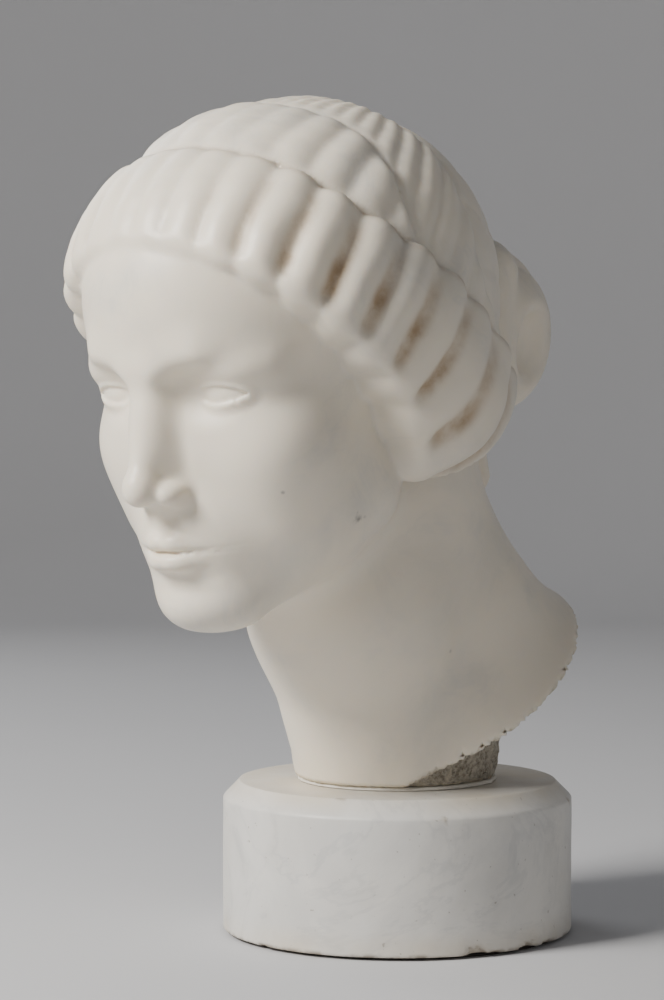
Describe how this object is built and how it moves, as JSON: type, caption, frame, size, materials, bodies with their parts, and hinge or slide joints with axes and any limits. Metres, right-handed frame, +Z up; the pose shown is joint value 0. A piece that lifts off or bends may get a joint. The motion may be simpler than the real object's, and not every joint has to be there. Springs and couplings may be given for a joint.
{
  "type": "marble bust",
  "caption": "Life-size marble head with banded, ribbed hair and a looped knot, its slanting-cut neck set on a round chamfered marble socle.",
  "frame": {"origin": "middle of the felt's underside, which is the axis of the round socle", "axes": "+Z up along the socle's axis, the face looks along -Y, +X to the figure's left"},
  "size_m": [0.1919, 0.2758, 0.3981],
  "materials": {
    "white_marble": "softly polished, warm white",
    "grey_white_marble": "honed, clouded grey and white",
    "plaster": "matt",
    "rod_steel": "rolled thread, bare",
    "lime_grout": "rough",
    "washer_steel": "zinc plated",
    "nut_steel": "zinc plated",
    "dark_felt": "pressed felt"
  },
  "bodies": {
    "root": {"bust": "white_marble", "socle": "grey_white_marble", "setting_plaster": "plaster", "dowel_rod": "rod_steel", "dowel_grout": "lime_grout", "washer": "washer_steel", "nut": "nut_steel", "base_felt": "dark_felt"}
  },
  "joints": []
}
